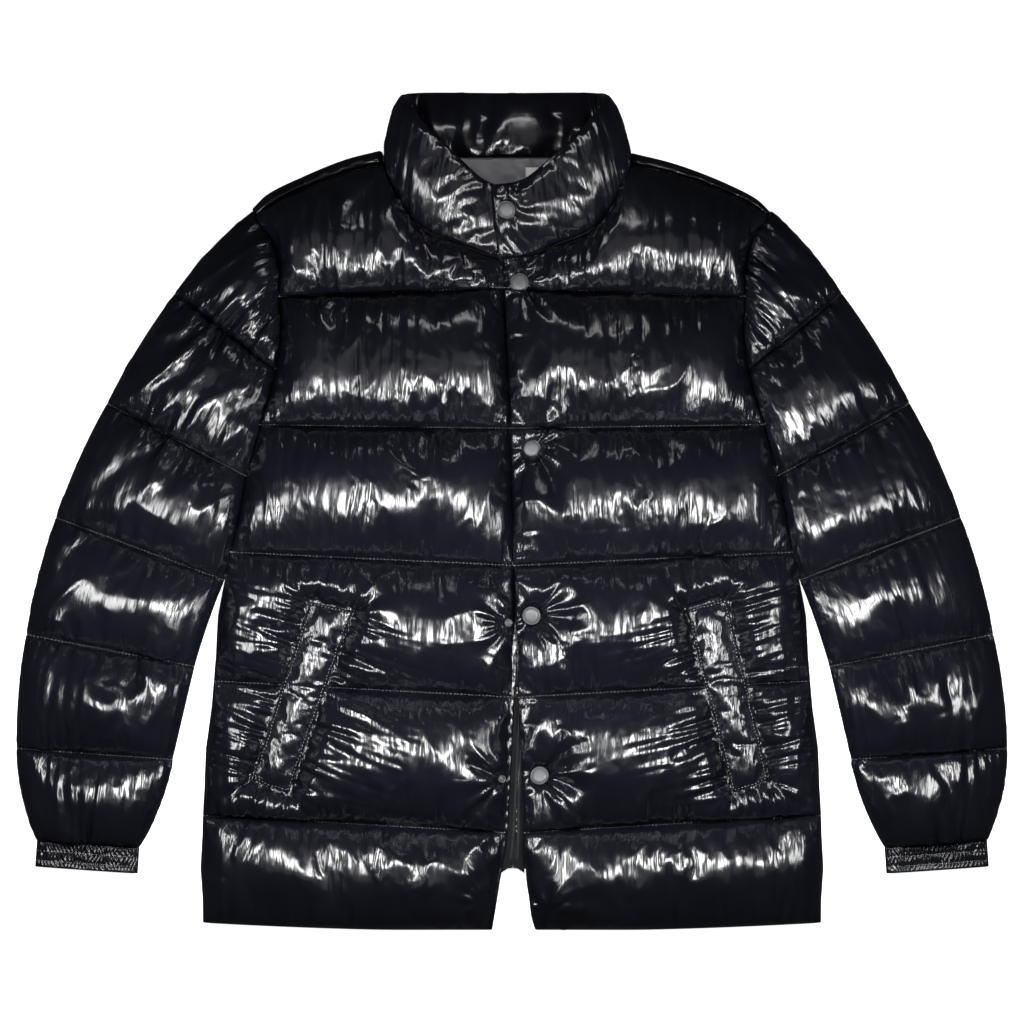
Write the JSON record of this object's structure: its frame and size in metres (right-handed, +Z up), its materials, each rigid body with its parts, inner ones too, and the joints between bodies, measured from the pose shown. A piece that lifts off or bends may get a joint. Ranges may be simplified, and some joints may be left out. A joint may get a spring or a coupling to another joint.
{
  "type": "puffer jacket",
  "caption": "Hip-length quilted puffer jacket with stand collar, slanted pocket welts, snap-over-zip front and elastic cuffs, laid flat on its back with the front up.",
  "frame": {"origin": "centre of the jacket's outline, on the surface that it lies on", "axes": "+X from the wearer's right to the wearer's left, +Y from the hem to the collar, +Z up out of the jacket's front"},
  "size_m": [0.893, 0.7548, 0.0607],
  "materials": {
    "gloss_shell": "wet-look coated nylon, black",
    "elastic_cuff": "gathered coated nylon over elastic, black",
    "satin_lining": "satin, dark grey",
    "snap_metal": "satin gunmetal",
    "zip_tape": "woven tape, charcoal",
    "woven_label": "blank woven label, white"
  },
  "bodies": {
    "root": {"back": "gloss_shell", "front_right": "gloss_shell", "front_left": "gloss_shell", "sleeve_right": "gloss_shell", "sleeve_left": "gloss_shell", "cuff_right": "elastic_cuff", "cuff_left": "elastic_cuff", "collar": "gloss_shell", "pocket_welt_right": "gloss_shell", "pocket_welt_left": "gloss_shell", "snap_cap_collar": "snap_metal", "snap_cap_yoke": "snap_metal", "snap_cap_chest": "snap_metal", "snap_cap_waist": "snap_metal", "snap_cap_hip": "snap_metal", "snap_stud_waist": "snap_metal", "snap_stud_hip": "snap_metal", "zip_tape_right": "zip_tape", "zip_tape_left": "zip_tape", "neck_lining": "satin_lining", "neck_label": "woven_label"}
  },
  "joints": []
}
